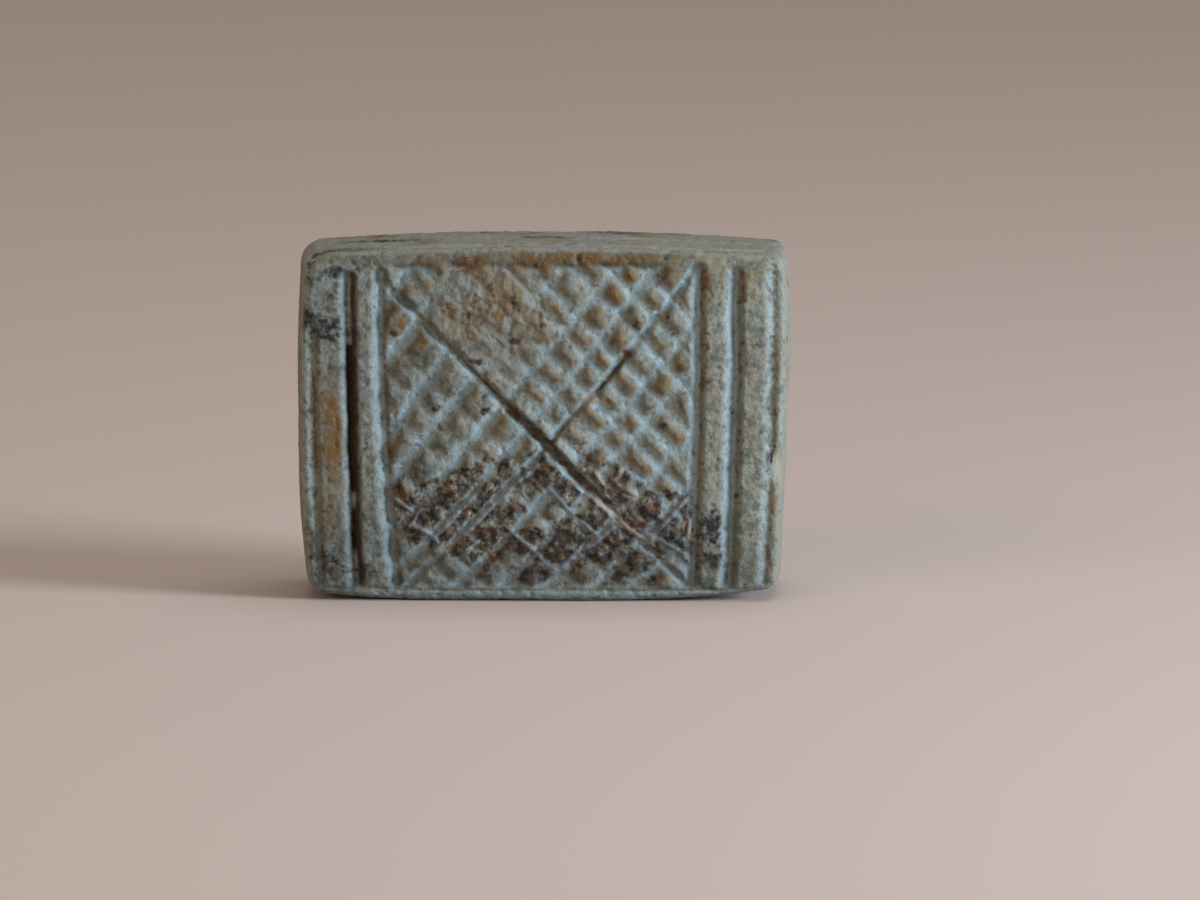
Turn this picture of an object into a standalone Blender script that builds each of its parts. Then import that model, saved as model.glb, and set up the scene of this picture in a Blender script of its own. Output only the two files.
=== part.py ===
"""Engraved amulet bead: one plaque carved from soft stone, standing on its long narrow edge.

Units are metres. X runs along the length and the string hole, the engraved front faces -Y and Z is up.
The origin is on the underside, below the middle of the bead.
"""
import math

import bmesh
import bpy
from mathutils import Vector

# The block, before its sides are bowed
LENGTH = 0.0204
HEIGHT = 0.0147
THICKNESS = 0.0072
EDGE_ROUND = 0.00055
EDGE_SEGMENTS = 3

# The bow of each hand-ground side: the left end turns in near its foot, the right end slants in evenly
FACE_CROWN = 0.00028
END_BULGE = 0.00020
TOP_CROWN = 0.00012
WIDEST_LEVEL = 0.0098
LEFT_FOOT_INSET = 0.00059
LEFT_FOOT_POWER = 3.4
RIGHT_FOOT_INSET = 0.00044
RIGHT_FOOT_POWER = 1.0
HEAD_INSET = 0.00020
TOP_SHOULDER = 0.00033
FACET_SPACING = 0.0017

# The underside is flat between these two places and lifts from them towards both ends
FLAT_LEFT = -0.0055
FLAT_RIGHT = 0.0035
LEFT_RISE = 0.00035
RIGHT_RISE = 0.00060

# The string hole and its worn mouths
HOLE_RADIUS = 0.0011
HOLE_SIDES = 24
HOLE_OVERSHOOT = 0.0020
MOUTH_RADIUS = 0.00155
MOUTH_DEPTH = 0.00060
MOUTH_START = 0.9

# Upright grooves, each measured in from its own end of the bead
LEFT_INSETS = (0.00057, 0.00214, 0.00351)
RIGHT_INSETS = (0.00073, 0.00236, 0.00388)
UPRIGHT_WIDTH = 0.00058
UPRIGHT_DEPTH = 0.00034
SLIT_DEPTH = 0.00050
BOTTOM_RIM = 0.00048
TOP_RIM = 0.00060

# Lattice of the front: falling lines run down to the right, rising lines run up to the right
FALLING_SPACING = 0.00147
FALLING_LEAN = -0.98
FALLING_MAIN = -0.00082
RISING_SPACING = 0.00190
RISING_LEAN = 0.88
RISING_FAN = 0.030
RISING_BEND = 0.00035
RISING_MAIN = 0.00082
LINE_WIDTH = 0.00042
LINE_DEPTH = 0.00022
MAIN_WIDTH = 0.00056
MAIN_DEPTH = 0.00034
SHORTEST_LINE = 0.0014
LINE_SPAN = 0.0024
LINE_STEPS = 120

# How far each hand-cut line strays from even spacing, counted out from the main line to either side
FALLING_SLIPS_LEFT = (-0.00021, -0.00026, -0.00039, -0.00072, -0.00085, -0.00065, -0.00041)
FALLING_SLIPS_RIGHT = (-0.00036, -0.00060, -0.00052, -0.00047, -0.00046, -0.00042, -0.00033, -0.00046)
RISING_SLIPS_LEFT = (0.00055, 0.00054, 0.00050, 0.00076, 0.00040, 0.00050)
RISING_SLIPS_RIGHT = (0.00003, -0.00044, 0.00012, 0.00006, 0.00050)

# The rubbed patch in the upper left of the lattice, where the lines are almost gone
WORN_X = -0.0024
WORN_LEVEL = 0.0118
WORN_RADIUS = 0.0026
WORN_SHARE = 0.45

# Plainer carving: the back's crossed lines, and the fine lines along the top and the underside
BACK_LINE_GAP = 0.0022
FINE_WIDTH = 0.00026
FINE_DEPTH = 0.00014
TOP_LINE_PLACES = (0.0014, 0.0034)
UNDER_LINE_INSET = 0.0018
FINE_END_GAP = 0.0012

# The chip in the right-hand rim of the front
CHIP_RADIUS = 0.00070
CHIP_LEVEL = 0.0057
CHIP_BITE = 0.00034

# Section of a cut: its floor as a share of its width, and how far the cutter stands out of the stone
FLOOR_SHARE = 0.26
CUTTER_LIFT = 0.00022

STONE_COLOUR = (0.33, 0.31, 0.25, 1.0)
STONE_ROUGHNESS = 0.58
WELD = 0.000001


def clear_scene():
    """Remove whatever the scene holds."""
    for item in list(bpy.data.objects):
        bpy.data.objects.remove(item, do_unlink=True)


def new_collection(name):
    """Add a collection to the scene."""
    collection = bpy.data.collections.new(name)
    bpy.context.scene.collection.children.link(collection)
    return collection


def move_to(item, collection):
    """Put an object in one collection only."""
    for old in list(item.users_collection):
        old.objects.unlink(item)
    collection.objects.link(item)


def stone_material():
    """Pale olive-grey steatite with thin remains of glaze."""
    material = bpy.data.materials.new("glazed_steatite")
    material.use_nodes = True
    shader = material.node_tree.nodes["Principled BSDF"]
    shader.inputs["Base Color"].default_value = STONE_COLOUR
    shader.inputs["Roughness"].default_value = STONE_ROUGHNESS
    shader.inputs["Metallic"].default_value = 0.0
    return material


def closed_mesh(item):
    """Return the evaluated mesh of an object, with its loose caps welded on."""
    graph = bpy.context.evaluated_depsgraph_get()
    mesh = bpy.data.meshes.new_from_object(item.evaluated_get(graph))
    work = bmesh.new()
    work.from_mesh(mesh)
    bmesh.ops.remove_doubles(work, verts=work.verts, dist=WELD)
    bmesh.ops.recalc_face_normals(work, faces=work.faces)
    work.to_mesh(mesh)
    work.free()
    return mesh


def hide_cutter(item, cutters):
    """Show a cutter as a wire only and keep it with the others."""
    move_to(item, cutters)
    item.hide_render = True
    item.display_type = 'WIRE'


def groove_section(width, depth):
    """A closed curve with the section of a cut: sloping walls down to a narrow floor."""
    floor = width * FLOOR_SHARE / 2
    slope = (width / 2 - floor) / depth
    brim = width / 2 + slope * CUTTER_LIFT
    curve = bpy.data.curves.new("groove_section", 'CURVE')
    curve.dimensions = '2D'
    spline = curve.splines.new('POLY')
    corners = ((-floor, -depth), (floor, -depth), (brim, CUTTER_LIFT), (-brim, CUTTER_LIFT))
    spline.points.add(len(corners) - 1)
    for point, (across, out) in zip(spline.points, corners):
        point.co = (across, out, 0.0, 1.0)
    spline.use_cyclic_u = True
    item = bpy.data.objects.new("groove_section", curve)
    bpy.context.scene.collection.objects.link(item)
    return item


def cut_line(name, path, width, depth, turn, place, cutters):
    """Make a cutter that runs along a path of (across, up, share) points on one side of the block."""
    section = groove_section(width, depth)
    curve = bpy.data.curves.new(name, 'CURVE')
    curve.dimensions = '2D'
    curve.bevel_mode = 'OBJECT'
    curve.bevel_object = section
    curve.use_fill_caps = True
    spline = curve.splines.new('POLY')
    spline.points.add(len(path) - 1)
    for point, (across, up, share) in zip(spline.points, path):
        point.co = (across, up, 0.0, 1.0)
        point.radius = share
    line = bpy.data.objects.new(name, curve)
    bpy.context.scene.collection.objects.link(line)
    line.rotation_euler = turn
    line.location = place
    bpy.context.view_layer.update()
    cutter = bpy.data.objects.new(name, closed_mesh(line))
    bpy.context.scene.collection.objects.link(cutter)
    cutter.matrix_world = line.matrix_world.copy()
    bpy.data.objects.remove(line, do_unlink=True)
    bpy.data.objects.remove(section, do_unlink=True)
    hide_cutter(cutter, cutters)


def wear(across, up):
    """How much of a cut is left: less inside the rubbed patch."""
    distance = math.hypot(across - WORN_X, up - WORN_LEVEL)
    if distance > WORN_RADIUS:
        return 1.0
    return WORN_SHARE + (1.0 - WORN_SHARE) * (distance / WORN_RADIUS) ** 2


def field_box():
    """The lattice field, from the inner upright grooves and the two rims."""
    left = -LENGTH / 2 + LEFT_INSETS[-1]
    right = LENGTH / 2 - RIGHT_INSETS[-1]
    return left, right, BOTTOM_RIM, HEIGHT - TOP_RIM


def lattice_path(middle, lean, bend):
    """Points of one lattice line where it lies inside the field, or none if it is too short."""
    left, right, low, high = field_box()
    level = (low + high) / 2
    reach = (high - low) / 2
    inside = []
    for step in range(LINE_STEPS + 1):
        up = low + (high - low) * step / LINE_STEPS
        rise = up - level
        across = middle + lean * rise - bend * (rise / reach) ** 2
        if left <= across <= right:
            inside.append((across, up))
    if len(inside) < 2:
        return []
    length = (Vector(inside[-1]) - Vector(inside[0])).length
    if length < SHORTEST_LINE:
        return []
    spans = max(2, round(length / LINE_SPAN))
    picked = [inside[round(index * (len(inside) - 1) / spans)] for index in range(spans + 1)]
    return [(across, up, wear(across, up)) for across, up in picked]


def slip(index, left, right):
    """How far a line strays: past the last reading, a line strays as the outermost one does."""
    if index == 0:
        return 0.0
    readings = left if index < 0 else right
    return readings[min(abs(index), len(readings)) - 1]


def family(main, spacing, lean, fan, bend, left, right):
    """All lines of one family, as (index, path), counted out from the main one."""
    reach = math.ceil((LENGTH + HEIGHT) / spacing)
    lines = []
    for index in range(-reach, reach + 1):
        middle = main + index * spacing + slip(index, left, right)
        path = lattice_path(middle, lean + fan * index, bend)
        if path:
            lines.append((index, path))
    return lines


def cut_front(cutters):
    """The front's upright grooves and its lattice with the two deeper diagonals."""
    turn = (math.pi / 2, 0.0, 0.0)
    place = (0.0, -THICKNESS / 2, 0.0)
    for side, insets in ((-1, LEFT_INSETS), (1, RIGHT_INSETS)):
        for number, inset in enumerate(insets):
            across = side * (LENGTH / 2 - inset)
            depth = SLIT_DEPTH if side < 0 and number == 1 else UPRIGHT_DEPTH
            path = [(across, BOTTOM_RIM, 1.0), (across, HEIGHT - TOP_RIM, 1.0)]
            cut_line(f"front_upright_{side}_{number}", path, UPRIGHT_WIDTH, depth, turn, place, cutters)
    falling = family(FALLING_MAIN, FALLING_SPACING, FALLING_LEAN, 0.0, 0.0,
                     FALLING_SLIPS_LEFT, FALLING_SLIPS_RIGHT)
    rising = family(RISING_MAIN, RISING_SPACING, RISING_LEAN, RISING_FAN, RISING_BEND,
                    RISING_SLIPS_LEFT, RISING_SLIPS_RIGHT)
    for name, lines in (("falling", falling), ("rising", rising)):
        for index, path in lines:
            width, depth = (LINE_WIDTH, LINE_DEPTH) if index else (MAIN_WIDTH, MAIN_DEPTH)
            cut_line(f"front_{name}_{index}", path, width, depth, turn, place, cutters)


def cut_back(cutters):
    """The back's plainer carving: two upright grooves at each end and a crossed pair of double lines."""
    turn = (math.pi / 2, 0.0, math.pi)
    place = (0.0, THICKNESS / 2, 0.0)
    for side, insets in ((-1, LEFT_INSETS), (1, RIGHT_INSETS)):
        for number, inset in enumerate(insets[1:]):
            across = side * (LENGTH / 2 - inset)
            path = [(across, BOTTOM_RIM, 1.0), (across, HEIGHT - TOP_RIM, 1.0)]
            cut_line(f"back_upright_{side}_{number}", path, UPRIGHT_WIDTH, UPRIGHT_DEPTH,
                     turn, place, cutters)
        for number in (-1, 0, 1):
            path = lattice_path(number * BACK_LINE_GAP, side * RISING_LEAN, 0.0)
            path = [(across, up, 1.0) for across, up, share in path]
            width, depth = (LINE_WIDTH, LINE_DEPTH) if number else (MAIN_WIDTH, MAIN_DEPTH)
            if path:
                cut_line(f"back_cross_{side}_{number}", path, width, depth, turn, place, cutters)


def cut_edges(cutters):
    """Fine lines that run lengthwise along the top and the underside."""
    half = LENGTH / 2 - FINE_END_GAP
    for number, behind in enumerate(TOP_LINE_PLACES):
        across = -THICKNESS / 2 + behind
        path = [(-half, across, 1.0), (half, across, 1.0)]
        place = (0.0, 0.0, HEIGHT)
        cut_line(f"top_line_{number}", path, FINE_WIDTH, FINE_DEPTH, (0.0, 0.0, 0.0), place, cutters)
    for side in (-1, 1):
        across = side * (THICKNESS / 2 - UNDER_LINE_INSET)
        path = [(-half, across, 1.0), (half, across, 1.0)]
        turn = (math.pi, 0.0, 0.0)
        cut_line(f"under_line_{side}", path, FINE_WIDTH, FINE_DEPTH, turn, (0.0, 0.0, 0.0), cutters)


def cut_hole(cutters):
    """The string hole along the length, with a worn funnel at each mouth."""
    middle = HEIGHT / 2
    turn = (0.0, math.pi / 2, 0.0)
    bpy.ops.mesh.primitive_cylinder_add(vertices=HOLE_SIDES, radius=HOLE_RADIUS,
                                        depth=LENGTH + 2 * HOLE_OVERSHOOT,
                                        location=(0.0, 0.0, middle), rotation=turn)
    bore = bpy.context.object
    bore.name = "string_hole"
    hide_cutter(bore, cutters)
    inner = HOLE_RADIUS * MOUTH_START
    widening = (MOUTH_RADIUS - inner) / MOUTH_DEPTH
    for side in (-1, 1):
        outer = MOUTH_RADIUS + widening * MOUTH_DEPTH
        bpy.ops.mesh.primitive_cone_add(vertices=HOLE_SIDES, radius1=inner, radius2=outer,
                                        depth=MOUTH_DEPTH * 2, location=(side * LENGTH / 2, 0.0, middle),
                                        rotation=(0.0, side * math.pi / 2, 0.0))
        mouth = bpy.context.object
        mouth.name = f"hole_mouth_{side}"
        hide_cutter(mouth, cutters)


def cut_chip(cutters):
    """The small chip in the right-hand rim of the front."""
    place = (LENGTH / 2 + CHIP_RADIUS - CHIP_BITE, -THICKNESS / 2 + CHIP_BITE, CHIP_LEVEL)
    bpy.ops.mesh.primitive_ico_sphere_add(subdivisions=2, radius=CHIP_RADIUS, location=place)
    chip = bpy.context.object
    chip.name = "rim_chip"
    hide_cutter(chip, cutters)


def carve_block(cutters):
    """Return the mesh of the rounded block with every cut taken out, its sides still straight."""
    bpy.ops.mesh.primitive_cube_add(size=1.0, location=(0.0, 0.0, 0.0))
    block = bpy.context.object
    for vertex in block.data.vertices:
        across, back, up = vertex.co
        vertex.co = (across * LENGTH, back * THICKNESS, (up + 0.5) * HEIGHT)
    edges = block.modifiers.new("rounded_edges", 'BEVEL')
    edges.width = EDGE_ROUND
    edges.segments = EDGE_SEGMENTS
    edges.limit_method = 'NONE'
    cuts = block.modifiers.new("carving", 'BOOLEAN')
    cuts.operation = 'DIFFERENCE'
    cuts.solver = 'EXACT'
    cuts.operand_type = 'COLLECTION'
    cuts.collection = cutters
    bpy.context.view_layer.update()
    mesh = closed_mesh(block)
    bpy.data.objects.remove(block, do_unlink=True)
    return mesh


def bowed(point):
    """Where a point of the straight block lies once the sides are bowed."""
    across, back, up = point
    end_share = across / (LENGTH / 2)
    back_share = back / (THICKNESS / 2)
    up_share = up / HEIGHT
    foot, power = (LEFT_FOOT_INSET, LEFT_FOOT_POWER) if across < 0 else (RIGHT_FOOT_INSET, RIGHT_FOOT_POWER)
    below = max(0.0, WIDEST_LEVEL - up) / WIDEST_LEVEL
    above = max(0.0, up - WIDEST_LEVEL) / (HEIGHT - WIDEST_LEVEL)
    inset = foot * below ** power + HEAD_INSET * above ** 2 + END_BULGE * back_share ** 2
    crown = FACE_CROWN * (end_share ** 2 + (2 * up_share - 1) ** 2) / 2
    shoulder = TOP_SHOULDER * end_share ** 2 + TOP_CROWN * back_share ** 2
    flat, rise = (-FLAT_LEFT, LEFT_RISE) if across < 0 else (FLAT_RIGHT, RIGHT_RISE)
    past_flat = max(0.0, abs(across) - flat) / (LENGTH / 2 - flat)
    lift = rise * past_flat ** 2
    return Vector((across - end_share * inset,
                   back - back_share * crown,
                   up - shoulder * up_share + lift * (1 - up_share)))


def bow_mesh(mesh):
    """Divide the long facets at even stations, then bow the whole mesh."""
    work = bmesh.new()
    work.from_mesh(mesh)
    for size, start, normal in ((LENGTH, -LENGTH / 2, Vector((1, 0, 0))), (HEIGHT, 0.0, Vector((0, 0, 1)))):
        count = max(2, round(size / FACET_SPACING))
        for index in range(1, count):
            place = normal * (start + size * index / count)
            geometry = work.verts[:] + work.edges[:] + work.faces[:]
            bmesh.ops.bisect_plane(work, geom=geometry, dist=WELD / 10, plane_co=place, plane_no=normal)
    bmesh.ops.remove_doubles(work, verts=work.verts, dist=WELD)
    bmesh.ops.dissolve_degenerate(work, edges=work.edges, dist=WELD)
    bmesh.ops.triangulate(work, faces=work.faces)
    for vertex in work.verts:
        vertex.co = bowed(vertex.co)
    bmesh.ops.recalc_face_normals(work, faces=work.faces)
    work.to_mesh(mesh)
    work.free()


def build_bead():
    """Carve the bead and put it in its own collection."""
    cutters = new_collection("cutters")
    cut_front(cutters)
    cut_back(cutters)
    cut_edges(cutters)
    cut_hole(cutters)
    cut_chip(cutters)
    mesh = carve_block(cutters)
    bow_mesh(mesh)
    mesh.name = "engraved_bead"
    mesh.materials.clear()
    mesh.materials.append(stone_material())
    bead = bpy.data.objects.new("engraved_bead", mesh)
    new_collection("engraved_amulet_bead").objects.link(bead)


clear_scene()
build_bead()
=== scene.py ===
import math

import bmesh
import bpy
import numpy as np
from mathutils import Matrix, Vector, noise


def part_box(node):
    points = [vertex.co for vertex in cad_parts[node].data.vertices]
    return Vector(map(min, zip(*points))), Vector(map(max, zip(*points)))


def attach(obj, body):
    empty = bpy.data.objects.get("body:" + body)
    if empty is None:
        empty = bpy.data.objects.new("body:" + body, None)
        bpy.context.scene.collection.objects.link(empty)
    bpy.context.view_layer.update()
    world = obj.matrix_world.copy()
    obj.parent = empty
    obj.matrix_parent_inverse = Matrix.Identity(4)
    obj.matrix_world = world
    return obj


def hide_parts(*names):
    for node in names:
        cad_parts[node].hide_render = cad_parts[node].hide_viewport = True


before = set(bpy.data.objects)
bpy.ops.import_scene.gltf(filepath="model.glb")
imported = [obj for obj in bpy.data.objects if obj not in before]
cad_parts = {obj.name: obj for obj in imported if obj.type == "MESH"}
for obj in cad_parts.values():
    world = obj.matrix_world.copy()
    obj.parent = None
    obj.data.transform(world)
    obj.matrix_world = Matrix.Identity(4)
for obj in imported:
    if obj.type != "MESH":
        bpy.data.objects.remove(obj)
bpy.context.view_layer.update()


# The bead is one plaque of soft steatite, ground by hand so that every side bows a little, then scored
# with a point: upright grooves at both ends and a cross filled with lattice between them. It was glazed
# once. Pale blue-green glaze is left in the cuts, and a dark crust has grown over the lower lattice.

# The blank, in millimetres, is a block of small facets, finer on the engraved front.
MM = 0.001
lowest, highest = (Vector(corner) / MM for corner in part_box("engraved_bead"))
length, thickness, height = highest - lowest
facet = 0.148
hole_radius = 1.1
hole_level = height / 2
hole_parts = 40
eased_reach = 0.6
easing_rounds = 6

blank = bmesh.new()
bmesh.ops.create_cube(blank, size=1.0)
bmesh.ops.scale(blank, vec=(length, thickness, height), verts=blank.verts)
bmesh.ops.translate(blank, vec=(0.0, 0.0, height / 2), verts=blank.verts)


def edges_along(axis, least):
    """Edges of the blank that run along an axis for more than a least length."""
    return [edge for edge in blank.edges if abs(edge.verts[0].co[axis] - edge.verts[1].co[axis]) > least]


for axis, size in enumerate((length, thickness, height)):
    bmesh.ops.subdivide_edges(blank, edges=edges_along(axis, size / 2), cuts=round(size / facet) - 1,
                              use_grid_fill=True)

# The string hole: the facets at its mouths are taken out. Their stepped rims are spaced evenly round a circle
# and joined, and the facets beside them are eased.
blank.normal_update()
mouths = []
for face in blank.faces:
    centre = face.calc_center_median()
    if abs(face.normal.x) > 0.9 and math.hypot(centre.y, centre.z - hole_level) < hole_radius:
        mouths.append(face)
bmesh.ops.delete(blank, geom=mouths, context='FACES')
rims = [edge for edge in blank.edges if edge.is_boundary]
for side in (-1, 1):
    ring = {vertex for edge in rims for vertex in edge.verts if vertex.co.x * side > 0}
    ring = sorted(ring, key=lambda vertex: math.atan2(vertex.co.z - hole_level, vertex.co.y))
    for number, vertex in enumerate(ring):
        angle = (number + 0.5) / len(ring) * 2 * math.pi - math.pi
        vertex.co = (vertex.co.x, hole_radius * math.cos(angle), hole_level + hole_radius * math.sin(angle))
beside = []
for vertex in blank.verts:
    reach = math.hypot(vertex.co.y, vertex.co.z - hole_level)
    if abs(vertex.co.x) > length / 2 - 0.01 and hole_radius + 0.001 < reach < hole_radius + eased_reach:
        beside.append(vertex)
for easing in range(easing_rounds):
    bmesh.ops.smooth_vert(blank, verts=beside, factor=0.5, use_axis_y=True, use_axis_z=True)
bmesh.ops.bridge_loops(blank, edges=rims)
bmesh.ops.subdivide_edges(blank, edges=edges_along(0, length / 2), cuts=hole_parts - 1, use_grid_fill=True)

front_plane = -thickness / 2 + 0.001
front_edges = [edge for edge in blank.edges if max(vertex.co.y for vertex in edge.verts) < front_plane]
bmesh.ops.subdivide_edges(blank, edges=front_edges, cuts=1, use_grid_fill=True)
bmesh.ops.recalc_face_normals(blank, faces=blank.faces)

mesh = bpy.data.meshes.new("engraved_plaque")
blank.to_mesh(mesh)
blank.free()
flat = np.empty(len(mesh.vertices) * 3)
mesh.vertices.foreach_get("co", flat)
straight = flat.reshape(-1, 3)


def uneven(points, size, seed, octaves=1):
    """Smooth noise from about -1 to 1, whose swells are as many millimetres apart as its size."""
    shift = Vector((17.3, 5.1, 9.7)) * seed
    return np.array([noise.fractal(Vector(point) / size + shift, 1.0, 2.0, octaves) for point in points])


def ramp(value, start, end):
    """A soft step from 0 at the start to 1 at the end."""
    share = np.clip((value - start) / (end - start), 0.0, 1.0)
    return share * share * (3.0 - 2.0 * share)


# The edges are rubbed round, a little more in some places than in others, and most at the upper left corner.
edge_round = 0.52 * (1.0 + 0.22 * uneven(straight, 2.6, 1))
worn_corner = (straight[:, 0] + length / 2) ** 2 + (straight[:, 2] - height) ** 2
edge_round = (edge_round + 0.10 * np.exp(-worn_corner / 2.2))[:, None]
half = np.array((length / 2, thickness / 2, height / 2))
middle = np.array((0.0, 0.0, height / 2))
core = np.clip(straight - middle, -(half - edge_round), half - edge_round)
outward = straight - middle - core
hole_out = straight * (0, 1, 1) - middle * (0, 0, 1)
hole_reach = np.linalg.norm(hole_out, axis=1)
in_hole = (hole_reach < hole_radius + 0.001) & (np.abs(straight[:, 0]) < length / 2 - 0.01)
outward[in_hole] = 0.0
reach = np.linalg.norm(outward, axis=1, keepdims=True)
normal = outward / np.maximum(reach, 0.001)
rounded = np.where(in_hole[:, None], straight, middle + core + normal * edge_round)

# The sides are bowed. The left end turns in near its foot, the right end slants in evenly, and the
# underside is flat only in its middle.
widest_level = 9.8
left_foot_inset = 0.42
left_foot_power = 3.4
right_foot_inset = 0.44
head_inset = 0.20
end_bulge = 0.20
face_crown = 0.28
top_shoulder = 0.33
top_crown = 0.12
flat_left = 5.5
flat_right = 3.5
left_rise = 0.35
right_rise = 0.54
x, y, z = rounded.T
on_left = x < 0
end_share = x / (length / 2)
back_share = y / (thickness / 2)
up_share = z / height
below = np.maximum(0.0, widest_level - z) / widest_level
above = np.maximum(0.0, z - widest_level) / (height - widest_level)
inset = np.where(on_left, left_foot_inset * below ** left_foot_power, right_foot_inset * below)
inset += head_inset * above ** 2 + end_bulge * back_share ** 2
crown = face_crown * (end_share ** 2 + (2 * up_share - 1) ** 2) / 2
shoulder = top_shoulder * end_share ** 2 + top_crown * back_share ** 2
rise = np.where(on_left, left_rise, right_rise)
flat_reach = np.where(on_left, flat_left, flat_right)
past_flat = np.maximum(0.0, np.abs(x) - flat_reach) / (length / 2 - flat_reach)
bowed = np.stack((x - end_share * inset,
                  y - back_share * crown,
                  z - shoulder * up_share + rise * past_flat ** 2 * (1 - up_share)), axis=1)
x, y, z = bowed.T
on_front = ramp(-normal[:, 1], 0.25, 0.8)
on_back = ramp(normal[:, 1], 0.25, 0.8)
on_top = ramp(normal[:, 2], 0.5, 0.9)
on_base = ramp(-normal[:, 2], 0.5, 0.9)
on_end = ramp(np.abs(normal[:, 0]), 0.5, 0.9)

# Upright grooves, read at three levels, with their head, half width and depth, and how much dark earth and painted
# shade their right walls carry
groove_levels = (14.0, 7.0, 0.5)
groove_foot = 0.50
uprights = (
    ((-9.51, -9.44, -9.18), 11.8, 0.34, 0.16, 0.35),
    ((-8.00, -7.90, -7.66), 13.8, 0.43, 0.34, 1.0),
    ((-6.70, -6.56, -6.05), 13.9, 0.45, 0.32, 0.60),
    ((6.31, 6.24, 6.03), 14.2, 0.48, 0.30, 0.60),
    ((7.87, 7.77, 7.55), 14.0, 0.48, 0.34, 0.60),
    ((9.46, 9.34, 9.06), 13.9, 0.40, 0.19, 0.35),
)
# Lattice lines, read where they cross the middle level, with their lean and their bend
middle_level = 7.26
falling = (
    (-11.75, -1.04, 0.0), (-10.70, -1.07, 0.0), (-9.09, -1.01, 0.0), (-7.75, -1.05, 0.0),
    (-5.59, -1.04, 0.0), (-4.11, -1.08, 0.0), (-2.66, -1.04, 0.0), (-0.70, -0.99, 0.0),
    (0.33, -0.95, 0.0), (1.84, -1.03, 0.0), (3.18, -0.99, 0.0), (4.45, -0.93, 0.0),
    (5.80, -0.97, 0.0), (7.38, -0.93, 0.0), (8.65, -0.91, 0.0), (10.49, -1.00, 0.0),
)
rising = (
    (-10.08, 0.71, 0.0), (-8.28, 0.72, 0.0), (-6.02, 0.67, 0.0), (-4.39, 0.79, 0.0),
    (-2.44, 0.85, 0.0), (-0.54, 0.85, 0.50), (0.82, 0.90, 0.50), (2.75, 0.88, 0.50),
    (4.18, 0.85, 0.20), (6.64, 0.99, 0.0), (8.48, 0.96, 0.0), (10.82, 1.06, 0.0),
)
falling_main = 7
rising_main = 6
bend_reach = 6.7
line_half_width = 0.60
line_depth = 0.22
main_half_width = 0.34
main_depth = 0.30
lattice_foot = 0.48
lattice_head = 14.1


def groove(distance, half_width, depth, floor=0.0):
    """Depth of a cut beside its middle line: a worn valley with soft lips and, if asked for, a flat floor."""
    return depth * (1.0 - ramp(np.abs(distance) / half_width, floor, 1.0))


def line_place(line, level):
    """Where a lattice line crosses a level."""
    place, lean, bend = line
    return place + lean * (level - middle_level) - bend * ((level - middle_level) / bend_reach) ** 2


def upright_place(places, level):
    """Where an upright groove crosses a level: a curve through its three readings."""
    return np.polyval(np.polyfit(groove_levels, places, 2), level)


worn = np.exp(-(((x + 2.2) / 2.3) ** 2 + ((z - 11.9) / 2.2) ** 2) ** 1.6) * on_front
worn = np.clip(worn * (1.0 + 0.5 * uneven(bowed, 0.9, 2, 2)), 0.0, 1.0)
wander = uneven(bowed, 1.5, 40, 2)
strength = 1.0 + 0.30 * uneven(bowed, 1.1, 41, 2)
speckle = uneven(bowed, 0.26, 24, 3)
field_left = upright_place(uprights[2][0], z)
field_right = upright_place(uprights[3][0], z)
in_field = ramp(x, field_left - 0.05, field_left + 0.15) * ramp(-x, -field_right - 0.05, -field_right + 0.15)
in_field *= ramp(z, lattice_foot, lattice_foot + 0.25) * ramp(-z, -lattice_head, -lattice_head + 0.35)

# The falling diagonal is scored deepest below its middle, and fine ridges run beside it above that.
deep_line = falling[falling_main]
deep = (x - line_place(deep_line, z) - 0.09 * wander) / math.sqrt(1.0 + deep_line[1] ** 2)
deep_present = ramp(z, 3.9, 4.8) * ramp(-z, -9.2, -8.0) * on_front
ridged = ramp(z, 7.3, 7.7) * ramp(-z, -9.3, -8.8) * (1.0 - ramp(np.abs(deep + 0.05), 0.18, 0.40)) * on_front
ridges = 0.055 * ridged * np.cos(deep / 0.12 * 2.0 * math.pi)

# The crust lies between a lower and an upper border, read at a few places across, around one bare pad.
crust_places = (-6.4, -3.0, 0.0, 2.0, 4.4, 6.2)
crust_lower = (2.2, 1.6, 1.1, 1.0, 1.2, 2.2)
crust_upper = (5.3, 5.6, 6.1, 5.9, 4.7, 4.2)
crust_inside = np.minimum(z - np.interp(x, crust_places, crust_lower),
                          np.interp(x, crust_places, crust_upper) - z)
crust_bare = np.exp(-(((x + 0.28) / 1.20) ** 2 + ((z - 3.50) / 0.65) ** 2) ** 1.4)
crust_grain = uneven(bowed, 0.70, 3, 3)
crust = ramp(ramp(crust_inside, -1.0, 1.1) + 0.85 * crust_grain + 0.25 * speckle - 0.9 * crust_bare, 0.15, 1.05)
crust *= on_front * in_field * (1.0 - 0.9 * (1.0 - ramp(np.abs(deep - 0.02), 0.22, 0.42)) * deep_present)

depths = []
earth_and_shade_depths = []
glazed_wall = np.zeros_like(x)
for places, head, half_width, depth, earth_and_shade_share in uprights:
    distance = x - upright_place(places, z) - 0.05 * wander
    present = ramp(z, groove_foot - 0.1, groove_foot + 0.3) * ramp(-z, -head, -head + 0.4) * on_front
    uneven_half_width = half_width * (0.8 + 0.2 * strength)
    depths.append(groove(distance, uneven_half_width, depth * (0.4 + 0.6 * strength)) * present)
    # Painted shade: the right wall of each upright faces away from the key light and is painted dark brown.
    shaded_wall = ramp(distance, -0.02, 0.20) * ramp(-distance, -half_width - 0.08, -0.18)
    earth_and_shade_depths.append(earth_and_shade_share * shaded_wall * present)
    # Painted highlight: glaze is laid only on the left wall of each upright, the wall that faces the key light.
    lit_wall = ramp(distance, -0.95 * half_width, -0.45 * half_width) * ramp(-distance, -0.02, 0.16) * present
    glazed_wall = np.maximum(glazed_wall, lit_wall * np.clip(depth / 0.30, 0.0, 1.0))
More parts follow.
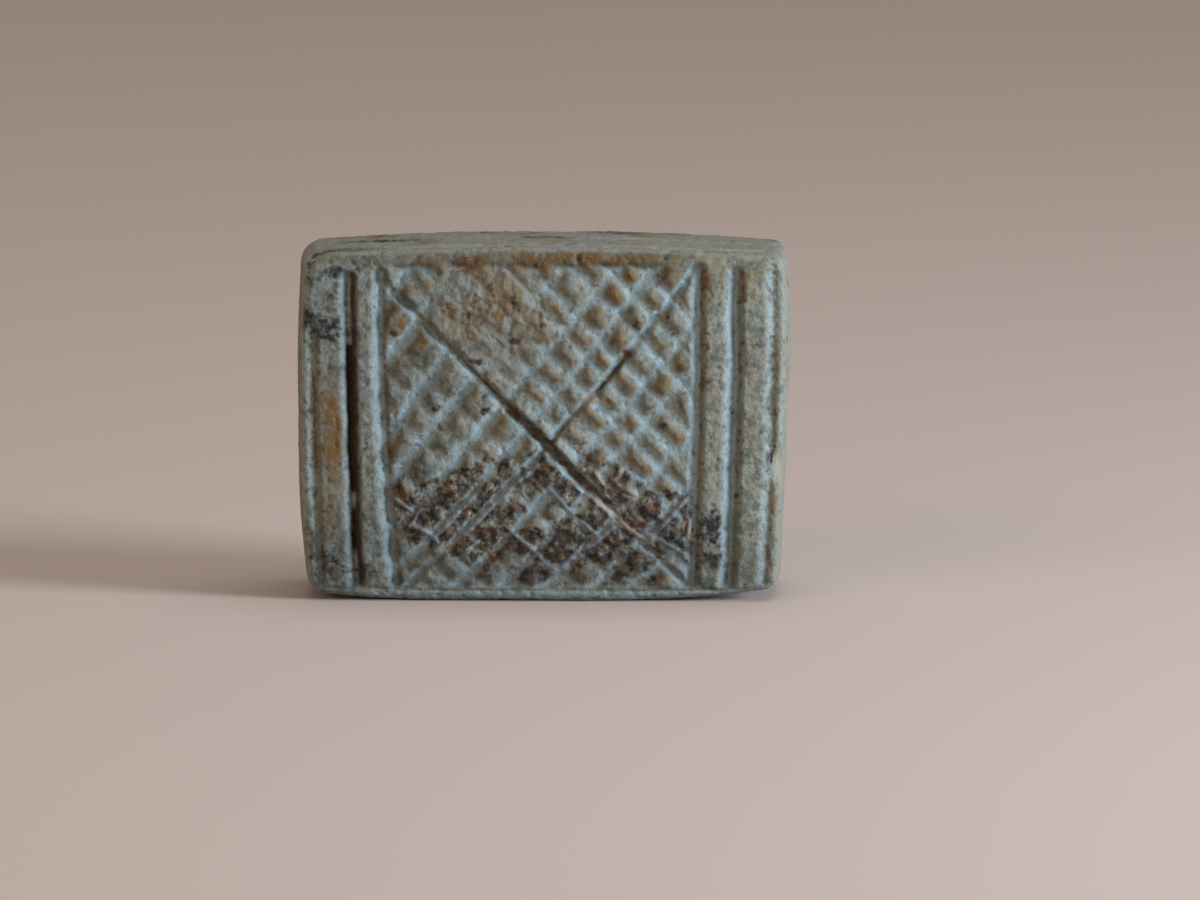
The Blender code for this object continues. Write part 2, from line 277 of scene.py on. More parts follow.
# A slit runs down the second upright, bridged by crust once, and narrower below that.
slit = x - upright_place(uprights[1][0], z) - 0.04 - 0.04 * wander - 0.03 * speckle
slit_bridge = np.exp(-((z - 4.15) / 0.40) ** 4)
slit_present = ramp(z, 1.6, 2.4) * ramp(-z, -10.75, -10.45) * (1.0 - 0.8 * slit_bridge) * on_front
slit_half_width = 0.11 + 0.04 * ramp(z, 3.6, 5.0)
depths.append(0.48 * (1.0 - ramp(np.abs(slit) / slit_half_width, 0.5, 1.0)) * slit_present)
# The slit's dark fill is partly earth and partly painted shade of its deep, narrow inside.
earth_and_shade_depths.append(1.15 * (1.0 - ramp(np.abs(slit) / slit_half_width, 0.7, 1.3)) * slit_present)
# In the left and lower triangles the rising lines were scored harder than the falling ones. The main diagonals hold
# dark earth and painted shade on their right walls along some stretches only.
falling_share = 0.78 + 0.22 * ramp(x + 0.95 * (z - middle_level), -1.5, 1.5)
rising_share = 1.0 + 1.40 * (1.0 - falling_share)
falling_earth_and_shade = 0.50 * ramp(-z, -12.9, -12.0) + 0.28 * ramp(-z, -10.8, -9.2)
falling_earth_and_shade *= 0.25 + 0.75 * ramp(z, 2.2, 4.0)
rising_earth_and_shade = 0.22 + 0.60 * ramp(z, 8.2, 8.6) * ramp(-z, -10.5, -10.2)
rising_earth_and_shade += 0.50 * ramp(-z, -8.4, -8.0) * ramp(z, 5.2, 6.2)
shaded_pad_edges = []
for lines, main, share, earth_and_shade_share in ((falling, falling_main, falling_share, falling_earth_and_shade),
                                   (rising, rising_main, rising_share, rising_earth_and_shade)):
    for number, line in enumerate(lines):
        distance = (x - line_place(line, z) - 0.09 * wander) / math.sqrt(1.0 + line[1] ** 2)
        present = in_field * on_front
        if number == main:
            depths.append(groove(distance, main_half_width, main_depth * strength, 0.10) * present)
            # Painted shade: the right wall of each main diagonal, which faces away from the key light, is painted
            # dark brown.
            earth_and_shade_depths.append(earth_and_shade_share * ramp(distance, -0.06, 0.06) * ramp(-distance, -0.28, -0.10) * present)
        else:
            present = present * (1.0 - 0.80 * worn)
            half_width = line_half_width * (1.0 - 0.35 * crust) * (0.8 + 0.2 * strength)
            depths.append(groove(distance, half_width, line_depth * strength * share) * present)
            # Painted shade: the left edge of each pad, on the line's right wall, faces away from the key light and
            # is darkened.
            shaded_pad_edges.append(share * ramp(distance, 0.10, 0.42) * ramp(-distance, -0.95, -0.50) * present)
depths.append(groove(deep, 0.38, 0.40 * (0.6 + 0.4 * strength), 0.2) * deep_present)
# The deep cut is painted dark a little right of its middle: earth and painted shade together.
earth_and_shade_depths.append(0.75 * (1.0 - ramp(np.abs(deep - 0.07 - 0.05 * speckle), 0.08, 0.40)) * deep_present)
# A shallow line runs just above the pale rim of the foot, darkened with painted shade.
foot_line = z - 0.50 - 0.06 * wander
foot_present = ramp(x, -8.6, -5.5) * ramp(-x, -8.8, -7.4) * on_front
depths.append(groove(foot_line, 0.16, 0.07) * foot_present)
earth_and_shade_depths.append(0.55 * (1.0 - ramp(np.abs(foot_line), 0.02, 0.14)) * foot_present * strength)
carved = np.sum(np.stack(depths) ** 4, axis=0) ** 0.25
shaded_pad_edge = np.max(np.stack(shaded_pad_edges), axis=0)
valley = ramp(carved / line_depth, 0.35, 1.0)
# Earth in the cuts together with painted shade on their shaded walls.
earth_and_shade = np.clip(np.max(np.stack(earth_and_shade_depths), axis=0), 0.0, 1.3)

# The back is carved more plainly: two uprights at each end and three crossing lines each way.
back_depths = []
for places, head, half_width, depth, earth_and_shade_share in uprights[1:5]:
    present = ramp(z, groove_foot - 0.1, groove_foot + 0.3) * ramp(-z, -head, -head + 0.4) * on_back
    back_depths.append(groove(-x - upright_place(places, z), half_width, depth * 0.8) * present)
for side in (-1, 1):
    for place in (-2.2, 0.0, 2.2):
        distance = (x - place - side * 0.88 * (z - height / 2) - 0.09 * wander) / 1.33
        present = in_field * on_back
        back_depths.append(groove(distance, 0.34 if place else 0.38, 0.20 if place else 0.28) * present)
carved_back = np.sum(np.stack(back_depths) ** 4, axis=0) ** 0.25

# Fine lines run along the top and hold dirt in places, and a fainter pair runs along the underside.
fine_depths = []
line_dirt = np.zeros_like(x)
fine_wander = 0.10 * uneven(bowed * (1, 0, 0), 3.0, 9, 2)
front_dirt = 0.30 + 0.75 * ramp(-x, 5.2, 8.6)
middle_dirt = 0.30 + 0.80 * (np.exp(-((x + 6.6) / 1.9) ** 2) + np.exp(-((x - 0.1) / 1.1) ** 2))
for place, where, half_width, depth, dirt in (
        (-2.2, on_top, 0.36, 0.22, front_dirt), (-0.1, on_top, 0.36, 0.22, middle_dirt),
        (-1.8, on_base, 0.30, 0.10, 0.4), (1.8, on_base, 0.30, 0.10, 0.4)):
    present = where * ramp(-np.abs(x), -10.0, -9.5) * np.clip(strength, 0.6, 1.3)
    distance = y - place - fine_wander
    fine_depths.append(groove(distance, half_width, depth) * present)
    far_wall = 1.0 - ramp(np.abs(distance - 0.55 * half_width), 0.10, 0.28)
    line_dirt = np.maximum(line_dirt, dirt * far_wall * present)
carved_fine = np.max(np.stack(fine_depths), axis=0)

# Each pad between the cuts stands a little higher or lower than its neighbours.
falling_count = sum((x > line_place(line, z)).astype(int) for line in falling)
rising_count = sum((x > line_place(line, z)).astype(int) for line in rising)
chance = np.random.default_rng(11)
pad_height = chance.uniform(-1.0, 1.0, (32, 32))[falling_count, rising_count] * in_field * on_front
pad_tone = chance.uniform(0.0, 1.0, (32, 32))[falling_count, rising_count] * in_field * on_front
pad_dirt = chance.uniform(0.0, 1.0, (32, 32))[falling_count, rising_count] * in_field * on_front

# Chips and rubbed places: where, how wide, how high and how deep
chips = (
    (9.75, 5.75, 0.45, 0.55, 0.30), (9.85, 4.9, 0.25, 0.55, 0.14), (-9.8, 14.4, 0.75, 0.30, 0.22),
    (-9.6, 2.6, 0.22, 0.35, 0.10), (1.43, 14.25, 0.12, 0.26, 0.16), (-1.60, 7.95, 0.30, 0.25, 0.12),
    (3.50, 10.27, 0.20, 0.14, 0.12), (9.4, 13.9, 0.16, 0.16, 0.10),
)
chipped = np.zeros_like(x)
for place, level, wide, high, depth in chips:
    chipped += depth * np.exp(-(((x - place) / wide) ** 2 + ((z - level) / high) ** 2) ** 1.5) * ramp(-y, 0.5, 2.5)
# Raised flakes, then raised threads of crust: where, their turn in degrees, their length, width and height
flakes = (
    (3.2, 5.45, 52, 0.85, 0.20, 0.13), (2.35, 5.1, -52, 0.95, 0.14, 0.11), (3.55, 4.62, -42, 0.70, 0.18, 0.12),
    (3.05, 4.95, -45, 0.80, 0.13, 0.10), (6.0, 3.0, 84, 0.85, 0.15, 0.13), (2.62, 3.82, -40, 1.30, 0.20, 0.13),
    (3.75, 2.85, -39, 1.70, 0.17, 0.12), (1.92, 8.36, 20, 0.62, 0.50, 0.14), (-1.62, 7.95, 30, 0.34, 0.26, 0.14),
    (-6.40, 1.53, 90, 0.36, 0.20, 0.10),
)
threads = (
    (-3.50, 3.68, 46, 2.35, 0.19, 0.14), (-2.58, 3.48, 46, 1.95, 0.18, 0.14), (-1.15, 4.85, 41, 1.95, 0.18, 0.13),
    (2.35, 2.67, 37, 1.75, 0.18, 0.12), (5.22, 3.50, 48, 2.25, 0.18, 0.13), (0.90, 1.60, 39, 1.40, 0.17, 0.10),
    (-0.70, 2.40, -43, 2.60, 0.16, 0.11), (0.76, 4.12, -48, 1.50, 0.16, 0.11), (1.90, 3.03, -44, 1.10, 0.17, 0.12),
    (-5.72, 4.00, -36, 1.10, 0.15, 0.11), (-5.20, 3.55, 62, 0.80, 0.15, 0.10), (-3.00, 2.20, 42, 1.20, 0.18, 0.10),
    (5.20, 2.30, -30, 1.30, 0.15, 0.11), (-4.60, 2.75, -40, 1.00, 0.14, 0.09),
)


def raised(pieces):
    """How far small raised pieces stand out of the front."""
    amount = np.zeros_like(x)
    for place, level, turn, long, wide, tall in pieces:
        along = (x - place) * math.cos(math.radians(turn)) + (z - level) * math.sin(math.radians(turn))
        across = -(x - place) * math.sin(math.radians(turn)) + (z - level) * math.cos(math.radians(turn))
        across = across + 0.05 * wander + 0.02 * speckle
        amount += tall * np.exp(-((along / (long / 2)) ** 4 + (across / (wide / 2 * strength)) ** 2)) * on_front
    return amount


flaked = raised(flakes)
threaded = raised(threads)
earth_and_shade *= 1.0 - np.clip(flaked / 0.08, 0.0, 1.0)

# Everything together moves the surface inwards, along the block's own normals.
swell = 0.035 * uneven(bowed, 3.2, 5, 2)
pits = np.maximum(0.0, uneven(bowed, 0.30, 6, 2) - 0.22) * 0.13
rough = 0.024 * uneven(bowed, 0.22, 7, 2)
crust_pads = crust * (1.0 - 0.52 * valley)
crust_rough = crust_pads * (0.13 * uneven(bowed, 0.34, 8, 3) + 0.10) - 0.35 * crust * carved
worn_rough = worn * (0.07 * uneven(bowed, 0.30, 12, 3) + 0.05)
inwards = carved + carved_back + carved_fine + ridges + chipped - flaked - threaded
inwards += pits + rough + crust_rough + worn_rough
inwards += np.maximum(0.0, swell + 0.02) + 0.045 * pad_height * (1.0 - valley)
inwards = np.where(in_hole, 0.0, inwards)
inwards = np.where((on_base > 0.5) & (normal[:, 2] < -0.98), np.maximum(inwards, 0.0), inwards)

# The mouths of the string hole are worn into a smooth funnel, and its wall, set back behind them, is uneven.
# The photograph doesn't show the hole, so all of it is a guess.
mouth_wear = 0.35
wall_unevenness = 0.04
near_mouth = ramp(-hole_reach, -1.9, -1.1) * (on_end > 0.5)
inwards *= 1.0 - ramp(-hole_reach, -1.7, -1.2) * (on_end > 0.5)
surface = bowed - normal * inwards[:, None]
surface[:, 0] -= np.sign(x) * near_mouth * mouth_wear
surface[:, 0] *= np.where(in_hole, 1.0 - 2 * mouth_wear / length, 1.0)
deep_in = ramp(-np.abs(x), -length / 2 + 0.2, -length / 2 + 1.5)
wider = np.where(in_hole, wall_unevenness * deep_in * uneven(bowed, 0.8, 13), 0.0)
surface += hole_out / np.maximum(hole_reach, 0.1)[:, None] * wider[:, None]

mesh.vertices.foreach_set("co", (surface * MM).ravel())
mesh.update()
mesh.shade_smooth()

# Stains and tints, with some painted shade and highlight, are kept on the mesh for the material. The patch tables
# give where, how wide, how high and how strong.
soot_patches = (
    (-8.80, 11.2, 1.10, 0.72, 1.4), (-9.70, 11.6, 0.50, 0.80, 1.4), (-8.5, 13.62, 0.70, 0.20, 1.3),
    (-9.65, 14.0, 0.50, 0.50, 1.1), (-7.3, 14.1, 0.60, 0.40, 0.9), (-8.6, 12.5, 0.80, 0.90, 0.7),
    (-9.75, 13.3, 0.35, 0.40, 1.1), (-7.3, 9.1, 0.36, 0.70, 0.6), (-7.3, 6.3, 0.36, 0.80, 0.6),
    (-7.2, 3.3, 0.40, 0.80, 0.6), (-8.6, 3.2, 0.60, 0.60, 0.5), (-5.3, 6.6, 0.60, 0.60, 0.5),
    (-3.2, 8.9, 0.45, 0.40, 0.5), (-5.6, 8.3, 0.40, 0.35, 0.4), (-3.3, 10.0, 0.45, 0.35, 0.4),
    (-2.5, 8.55, 0.40, 0.28, 1.0), (0.8, 7.95, 0.40, 0.24, 0.8), (-3.9, 7.2, 0.70, 0.30, 0.6),
    (1.43, 14.2, 0.16, 0.32, 0.9), (9.30, 5.9, 0.28, 0.62, 1.6), (9.4, 13.85, 0.20, 0.26, 0.9),
    (6.95, 1.80, 0.50, 0.45, 1.8), (6.90, 3.1, 0.60, 0.90, 1.5), (8.2, 6.0, 0.30, 0.35, 0.6),
    (-9.55, 2.0, 0.30, 1.20, 1.1), (-8.7, 1.5, 0.95, 0.65, 1.1), (-7.3, 1.4, 0.75, 0.55, 0.9),
    (-1.0, 7.5, 0.60, 0.35, 0.6), (6.8, 9.0, 0.18, 0.50, 0.6), (7.3, 8.9, 0.35, 0.18, 0.7),
    (5.8, 2.3, 0.45, 0.90, 0.7), (-6.9, 2.6, 0.50, 0.70, 0.5),
)
ochre_patches = (
    (-8.70, 7.1, 0.90, 2.5, 1.15), (-9.8, 7.0, 0.22, 3.0, 0.3), (-5.75, 11.3, 0.60, 0.50, 1.5),
    (-8.7, 3.6, 0.70, 1.20, 0.6), (-6.3, 12.4, 0.36, 0.36, 1.2), (-4.9, 10.9, 0.34, 0.34, 1.3),
    (-6.25, 10.3, 0.25, 0.28, 0.7),
    (-3.0, 14.0, 0.95, 0.34, 0.8), (-4.2, 13.8, 0.50, 0.30, 0.6), (-1.43, 12.8, 0.40, 0.45, 0.8),
    (-1.89, 11.9, 0.40, 0.35, 0.9), (0.1, 11.4, 0.32, 0.32, 0.9), (2.3, 13.6, 0.50, 0.32, 0.7),
    (1.1, 13.9, 0.40, 0.30, 0.6), (3.65, 13.6, 0.36, 0.40, 1.0), (5.3, 13.0, 0.36, 0.50, 0.9),
    (4.6, 12.5, 0.30, 0.35, 0.8), (3.2, 12.8, 0.30, 0.50, 0.7), (0.5, 12.1, 0.40, 0.32, 0.8),
    (3.05, 11.05, 0.40, 0.45, 1.0), (5.0, 10.7, 0.35, 0.36, 0.8), (5.6, 11.4, 0.22, 0.40, 0.6),
    (1.65, 9.45, 0.32, 0.32, 0.8), (0.9, 8.5, 0.40, 0.30, 0.6), (4.4, 8.1, 0.32, 0.26, 0.7),
    (4.2, 9.2, 0.30, 0.22, 0.5), (6.7, 13.2, 0.24, 0.90, 0.8), (8.25, 13.0, 0.20, 0.80, 0.7),
    (8.3, 10.55, 0.20, 0.28, 0.8), (6.65, 10.5, 0.16, 2.2, 0.45), (9.44, 4.5, 0.18, 4.6, 0.75),
    (-8.1, 14.1, 0.80, 0.30, 0.7), (0.0, 14.15, 8.5, 0.50, 1.05), (-5.2, 1.3, 0.32, 0.32, 0.7),
    (0.9, 0.9, 0.32, 0.30, 0.6), (5.3, 1.9, 0.26, 0.28, 0.9), (-4.8, 1.7, 0.30, 0.26, 0.8),
)
rust_patches = (
    (-3.2, 13.95, 0.60, 0.42, 1.0), (-4.4, 13.2, 0.50, 0.30, 0.6), (-7.75, 1.30, 0.95, 0.16, 1.1),
    (-9.34, 1.80, 0.14, 0.14, 1.0), (3.48, 10.30, 0.22, 0.16, 1.2), (6.02, 2.7, 0.14, 0.9, 1.0),
    (1.43, 14.20, 0.14, 0.30, 1.1), (-5.90, 4.35, 0.60, 0.30, 1.0), (-8.05, 12.1, 0.12, 1.50, 0.7),
    (2.7, 4.9, 0.50, 0.40, 0.9), (-2.2, 12.3, 0.40, 0.35, 0.7), (5.0, 1.9, 0.50, 0.30, 0.8),
)
warped_x = x + 0.22 * uneven(bowed, 0.6, 20, 3)
warped_z = z + 0.22 * uneven(bowed, 0.6, 21, 3)


def tint(patches):
    """How strongly a stain shows: the strongest of its ragged oval patches."""
    amount = np.zeros_like(x)
    for place, level, wide, high, strong in patches:
        oval = ((warped_x - place) / wide) ** 2 + ((warped_z - level) / high) ** 2
        amount = np.maximum(amount, strong * np.exp(-oval))
    return amount


lip = ramp(carved / line_depth, 0.25, 1.25)
others = np.clip((carved_back + carved_fine) / line_depth, 0.0, 1.0)
pad_share = 1.0 - lip
warm_side = ramp(x + 1.2 * z, 5.0, 16.0)
stain = tint(ochre_patches) * (0.35 + 0.65 * pad_share) * (1.0 - 0.8 * glazed_wall) * on_front
stain *= 0.90 + 0.55 * uneven(bowed, 0.7, 32, 3)
# Ochre on the pads, with painted shade along their shaded left edges.
pad_stain_and_shade = np.maximum(0.70 * pad_share ** 1.2, shaded_pad_edge) * (0.40 + 0.60 * pad_tone)
ochre_and_shade = np.maximum(stain, pad_stain_and_shade * (0.58 + 0.42 * warm_side) * in_field * on_front)
worn_rust = worn * ramp(uneven(bowed, 0.45, 25, 3), -0.05, 0.45)
ochre_and_shade = np.maximum(ochre_and_shade, 0.6 * worn_rust)
rest = 1.0 - on_front
ochre_and_shade = np.maximum(ochre_and_shade, rest * 0.6 * ramp(uneven(bowed, 2.2, 22, 3), 0.0, 0.6))
rust = np.maximum(tint(rust_patches) * on_front, 0.9 * worn * ramp(uneven(bowed, 0.38, 29, 3), 0.10, 0.60))
rust = np.maximum(rust, 1.2 * crust * ramp(uneven(bowed, 0.36, 28, 3), 0.10, 0.55))
rust_line = np.exp(-((x - upright_place(uprights[0][0], z) - 0.08) / 0.10) ** 2)
rust = np.maximum(rust, rust_line * ramp(z, 4.4, 5.8) * ramp(-z, -9.8, -9.2) * on_front)
soot_and_shade = tint(soot_patches) * np.clip(0.85 + 0.70 * speckle, 0.2, 1.3) * (1.0 - 0.6 * glazed_wall) * on_front
pad_soot = pad_share * ramp(uneven(bowed, 0.55, 31, 3) + 0.3 * speckle, 0.10, 0.55) * in_field * on_front
soot_and_shade = np.maximum(soot_and_shade, 0.62 * pad_soot * (1.0 - 0.65 * warm_side) * (1.0 - crust))
# Painted shade: the top face darkens towards the back, where it slopes away from the light.
top_back_shade = on_top * ramp(y, 0.4, 1.6) * 0.55
soot_and_shade = np.maximum(soot_and_shade, rest * ramp(top_back_shade + 0.8 * uneven(bowed, 1.3, 23, 3) + 0.35 * speckle, 0.35, 1.3))
soot_and_shade = np.maximum(soot_and_shade, line_dirt)
base_rim = ramp(-z, -0.75, -0.30) * (1.0 - 0.5 * on_base)
patina = 0.45 * ramp(uneven(bowed, 1.4, 26, 3) - 0.04 * x, -0.15, 0.55) * (1.0 - 0.6 * np.clip(stain, 0.0, 1.0))
patina = np.maximum(patina, 0.60 * ramp(-x, 9.50, 9.85)) * on_front
glaze = np.clip(np.maximum(np.maximum(np.maximum(lip, others), base_rim), patina), 0.0, 1.0)
# Glaze in the cuts, and a painted highlight on the lit left walls of the uprights.
glaze = np.maximum(glaze, 0.82 * glazed_wall * (0.75 + 0.25 * strength))
glaze *= 1.0 - 0.85 * np.clip(earth_and_shade, 0.0, 1.0)
fresh = 1.05 * np.exp(-np.abs((z - 5.1) / 1.05) ** 3) * ramp(x, 9.78, 9.92) * ramp(-y, 0.9, 2.6)
flake_tone = np.clip(flaked / 0.08, 0.0, 1.0)
# Painted shade darkens the front towards its foot, which the floor hides from the light, and towards the left, away
# from the key light. Random grime, darker and lighter pads and painted shade on the pads' shaded edges are added,
# and the front's top edge is darkened.
grime_and_shade = np.clip(0.75 * ramp(-z, -5.0, -0.6) + 0.55 * ramp(-x, 0.0, 8.0), 0.0, 1.0) * on_front
grime_and_shade = np.clip(grime_and_shade + 0.45 * ramp(uneven(bowed, 0.9, 27, 3), 0.0, 0.6) * on_front, 0.0, 1.2)
grime_and_shade += (0.45 * pad_dirt * pad_share + 0.25 * shaded_pad_edge - 0.12) * in_field * on_front
grime_and_shade *= (0.1 + 0.9 * ramp(x, -9.75, -9.40)) * (1.0 - 0.35 * base_rim)
grime_and_shade *= 1.0 - 0.35 * np.clip(stain, 0.0, 1.0)
grime_and_shade *= 1.0 - 0.75 * ramp(crust, 0.1, 0.6) * ramp(-x, 0.0, 3.5)
grime_and_shade = np.maximum(grime_and_shade, 0.80 * ramp(z, 13.6, 14.1) * on_front * ramp(-x, -6.5, -5.0))
thread = 0.66 * crust * valley * ramp(uneven(bowed, 0.8, 44, 3), -0.30, 0.35)
thread = np.maximum(thread, np.clip(threaded / 0.07, 0.0, 1.0))
hole_dirt = np.maximum(in_hole * 1.0, near_mouth * 0.4)
for name, values in (("glaze", glaze), ("ochre_and_shade", ochre_and_shade), ("rust", rust), ("soot_and_shade", soot_and_shade), ("crust", crust_pads),
                     ("thread", thread), ("worn", np.maximum(worn, 0.80 * rest)), ("earth_and_shade", earth_and_shade), ("fresh", fresh),
                     ("hole_dirt", hole_dirt), ("flake_tone", flake_tone), ("grime_and_shade", grime_and_shade)):
    layer = mesh.attributes.new(name, 'FLOAT', 'POINT')
    layer.data.foreach_set("value", values.astype(np.float32))

bead = bpy.data.objects.new("engraved_plaque", mesh)
bpy.context.scene.collection.objects.link(bead)


def linear(code):
    """Turn an sRGB hex colour into linear values with full alpha."""
    parts = [int(code[start:start + 2], 16) / 255 for start in (1, 3, 5)]
    return [part / 12.92 if part <= 0.04045 else ((part + 0.055) / 1.055) ** 2.4 for part in parts] + [1.0]


def add_node(tree, kind, settings, inputs):
    """Add a node, set its properties, and give each input its value or its link."""
    node = tree.nodes.new(kind)
    for name, value in settings.items():
        setattr(node, name, value)
    for name, value in inputs.items():
        if isinstance(value, bpy.types.NodeSocket):
            tree.links.new(value, node.inputs[name])
        else:
            node.inputs[name].default_value = value
    return node


# Glazed steatite: a dull, fine-grained olive-grey stone that looks dry and slightly waxy. The thin glaze left
# in the cuts is smoother and bluer. Its grain is 0.06 to 0.5 mm wide, and its clouds are 1.6 mm.
stone = bpy.data.materials.new("glazed_steatite")
stone.use_nodes = True
tree = stone.node_tree
shader = tree.nodes["Principled BSDF"]
place = add_node(tree, 'ShaderNodeTexCoord', {}, {}).outputs["Object"]
masks = {}
for name in ("glaze", "ochre_and_shade", "rust", "soot_and_shade", "crust", "thread", "worn", "earth_and_shade", "fresh", "hole_dirt",
             "flake_tone", "grime_and_shade"):
    masks[name] = add_node(tree, 'ShaderNodeAttribute', {"attribute_name": name}, {}).outputs["Fac"]
grains = {}
for name, size, detail in (("cloud", 1.6, 3.0), ("mottle", 0.45, 4.0), ("grain", 0.14, 3.0), ("dust", 0.06, 2.0)):
    settings = {"Vector": place, "Scale": 1.0 / (size * MM), "Detail": detail, "Roughness": 0.6}
    grains[name] = add_node(tree, 'ShaderNodeTexNoise', {}, settings).outputs["Fac"]

base = add_node(tree, 'ShaderNodeValToRGB', {}, {"Fac": grains["mottle"]})
stops = base.color_ramp.elements
stops[0].position = 0.36
stops[0].color = linear("#5C5F54")
stops[1].position = 0.64
stops[1].color = linear("#8D9186")
flecks = add_node(tree, 'ShaderNodeTexNoise', {},
                  {"Vector": place, "Scale": 1.0 / (0.48 * MM), "Detail": 6.0, "Roughness": 0.72})
crust_colour = add_node(tree, 'ShaderNodeValToRGB', {}, {"Fac": flecks.outputs["Fac"]})
stops = crust_colour.color_ramp.elements
stops[0].position = 0.38
stops[0].color = linear("#151514")
stops[1].position = 0.68
stops[1].color = linear("#8F958F")
for position, code in ((0.45, "#23211D"), (0.50, "#3A362C"), (0.53, "#55412C"), (0.56, "#5C5A4D"),
                       (0.61, "#6F7267")):
    stops.new(position).color = linear(code)


def layered(under, over, mask, breakup, start, end):
    """Lay one colour over another where a mask, broken up by a grain, is strong enough."""
    lifted = add_node(tree, 'ShaderNodeMath', {"operation": 'MULTIPLY_ADD'}, {0: breakup, 1: 2.0, 2: -1.0})
    mixed = add_node(tree, 'ShaderNodeMath', {"operation": 'ADD'}, {0: mask, 1: lifted.outputs[0]})
    share = add_node(tree, 'ShaderNodeMapRange', {"interpolation_type": 'SMOOTHSTEP'},
                     {"Value": mixed.outputs[0], "From Min": start, "From Max": end})
    colours = add_node(tree, 'ShaderNodeMix', {"data_type": 'RGBA'}, {0: share.outputs[0], 6: under, 7: over})
    return colours.outputs[2]


# The dark brown earth layer also paints the shade on the cuts' shaded walls. The glaze layer carries a painted
# highlight on the lit walls, and the ochre and soot layers some painted shade.
colour = base.outputs["Color"]
for over, mask, breakup, start, end in (
        (linear("#77704F"), grains["cloud"], grains["mottle"], 0.50, 0.95),
        (linear("#7B776A"), masks["worn"], grains["grain"], 0.20, 1.10),
        (linear("#6A5226"), masks["ochre_and_shade"], grains["mottle"], 0.15, 1.05),
        (linear("#819395"), masks["glaze"], grains["mottle"], 0.05, 1.20),
        (linear("#38291A"), masks["earth_and_shade"], grains["mottle"], 0.20, 1.00),
        (crust_colour.outputs["Color"], masks["crust"], grains["mottle"], 0.10, 0.75),
        (linear("#5A3A1E"), masks["rust"], grains["grain"], 0.30, 1.20),
        (linear("#717C82"), masks["thread"], grains["mottle"], 0.20, 1.15),
        (linear("#857F74"), masks["flake_tone"], grains["grain"], 0.20, 1.00),
        (linear("#1E1F1F"), masks["soot_and_shade"], grains["grain"], 0.15, 1.40),
        (linear("#8F8668"), masks["fresh"], grains["grain"], 0.30, 0.90),
        (linear("#3A3024"), masks["hole_dirt"], grains["mottle"], 0.20, 0.90)):
    colour = layered(colour, over, mask, breakup, start, end)

# Dark specks are scattered about 0.24 mm apart, and the finest grain lightens and darkens the whole.
specks = add_node(tree, 'ShaderNodeTexNoise', {},
                  {"Vector": place, "Scale": 1.0 / (0.24 * MM), "Detail": 2.0, "Roughness": 0.5})
speck_share = add_node(tree, 'ShaderNodeMapRange', {"interpolation_type": 'SMOOTHSTEP'},
                       {"Value": specks.outputs["Fac"], "From Min": 0.36, "From Max": 0.26, "To Max": 0.42})
speckled = add_node(tree, 'ShaderNodeMix', {"data_type": 'RGBA'},
                    {0: speck_share.outputs[0], 6: colour, 7: linear("#3A352B")})
shade = add_node(tree, 'ShaderNodeMapRange', {}, {"Value": grains["dust"], "From Min": 0.3, "From Max": 0.7,
                                                  "To Min": 0.92, "To Max": 1.08})
# Grime and painted shade darken the colour.
grime_and_shade_factor = add_node(tree, 'ShaderNodeMath', {"operation": 'MULTIPLY_ADD'}, {0: masks["grime_and_shade"], 1: -0.38, 2: 1.0})
shaded = add_node(tree, 'ShaderNodeMath', {"operation": 'MULTIPLY'}, {0: shade.outputs[0], 1: grime_and_shade_factor.outputs[0]})
toned = add_node(tree, 'ShaderNodeVectorMath', {"operation": 'SCALE'},
                 {0: speckled.outputs[2], "Scale": shaded.outputs[0]})
tree.links.new(toned.outputs[0], shader.inputs["Base Color"])

dullness = add_node(tree, 'ShaderNodeMapRange', {}, {"Value": masks["glaze"], "To Min": 0.66, "To Max": 0.44})
tree.links.new(dullness.outputs[0], shader.inputs["Roughness"])
relief = add_node(tree, 'ShaderNodeMath', {"operation": 'MULTIPLY_ADD'},
                  {0: grains["grain"], 1: 1.0, 2: grains["dust"]})
bump = add_node(tree, 'ShaderNodeBump', {}, {"Height": relief.outputs[0], "Strength": 0.75, "Distance": 0.05 * MM})
tree.links.new(bump.outputs[0], shader.inputs["Normal"])
shader.inputs["IOR"].default_value = 1.55
shader.inputs["Specular IOR Level"].default_value = 0.25
mesh.materials.append(stone)

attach(bead, "root")
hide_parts("engraved_bead")


# The floor is a wide, plain, pale sheet. It isn't part of the bead.
floor_reach = 1.6
sheet = bmesh.new()
bmesh.ops.create_circle(sheet, cap_ends=True, segments=96, radius=floor_reach)
floor_mesh = bpy.data.meshes.new("pale_floor")
sheet.to_mesh(floor_mesh)
sheet.free()
floor = bpy.data.objects.new("pale_floor", floor_mesh)
bpy.context.scene.collection.objects.link(floor)
paper = bpy.data.materials.new("matt_paper")
paper.use_nodes = True
paper.node_tree.nodes["Principled BSDF"].inputs["Base Color"].default_value = linear("#B9A79B")
paper.node_tree.nodes["Principled BSDF"].inputs["Roughness"].default_value = 0.9
floor_mesh.materials.append(paper)


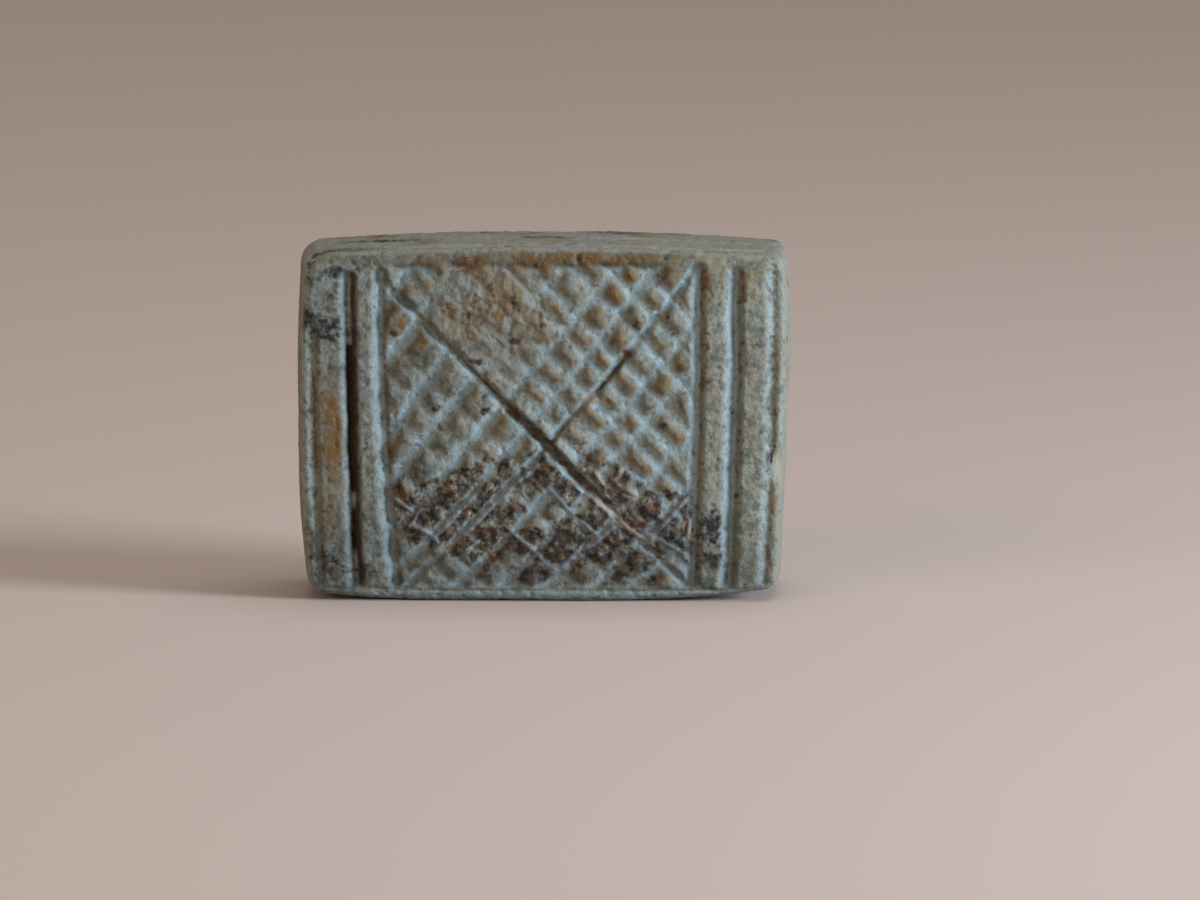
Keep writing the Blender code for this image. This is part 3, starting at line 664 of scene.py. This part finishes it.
# Plain soft studio light: a cool window-like key from the right, and weaker, warmer fill from the left.
aim = Vector((0.0, 0.0, height / 2)) * MM
for name, direction, distance, size, power, code in (
        ("key_from_right", (0.90, -0.36, 0.24), 0.24, 0.10, 1.12, "#DCEBFF"),
        ("fill_from_left", (-0.60, -0.75, 0.30), 0.60, 0.50, 1.4, "#FFE6CC"),
        ("soft_from_above", (0.10, 0.10, 1.00), 0.60, 0.50, 1.5, "#FFFFFF")):
    lamp = bpy.data.lights.new(name, 'AREA')
    lamp.shape = 'DISK'
    lamp.size = size
    lamp.energy = power
    lamp.color = linear(code)[:3]
    holder = bpy.data.objects.new(name, lamp)
    holder.location = aim + Vector(direction).normalized() * distance
    holder.rotation_euler = (aim - holder.location).to_track_quat('-Z', 'Y').to_euler()
    bpy.context.scene.collection.objects.link(holder)
world = bpy.data.worlds.new("pale_room")
world.use_nodes = True
world.node_tree.nodes["Background"].inputs["Color"].default_value = linear("#D9D2CC")
world.node_tree.nodes["Background"].inputs["Strength"].default_value = 0.26
bpy.context.scene.world = world
bpy.context.scene.view_settings.view_transform = 'Standard'


# The camera is set so that the bead is framed as in the photograph. Its angle above level, its turn and its
# distance are estimates from the strip of the top edge that shows, because the real ones aren't known.
photo_width = 1200
photo_centre = (600, 450)
bead_centre = (543, 425)
pixels_per_mm = 24.4
focal_pixels = 12000
sensor_width = 36.0
elevation = math.radians(7.7)
azimuth = math.radians(1.0)
look_at = Vector(((photo_centre[0] - bead_centre[0]) / pixels_per_mm, -thickness / 2,
                  height / 2 - (photo_centre[1] - bead_centre[1]) / pixels_per_mm)) * MM
away = Vector((math.sin(azimuth) * math.cos(elevation), -math.cos(azimuth) * math.cos(elevation),
               math.sin(elevation)))
lens = bpy.data.cameras.new("photo_camera")
lens.sensor_width = sensor_width
lens.lens = focal_pixels / photo_width * sensor_width
lens.clip_start = 0.01
lens.clip_end = 10.0
camera = bpy.data.objects.new("photo_camera", lens)
camera.location = look_at + away * focal_pixels / pixels_per_mm * MM
camera.rotation_euler = (-away).to_track_quat('-Z', 'Y').to_euler()
bpy.context.scene.collection.objects.link(camera)
bpy.context.scene.camera = camera
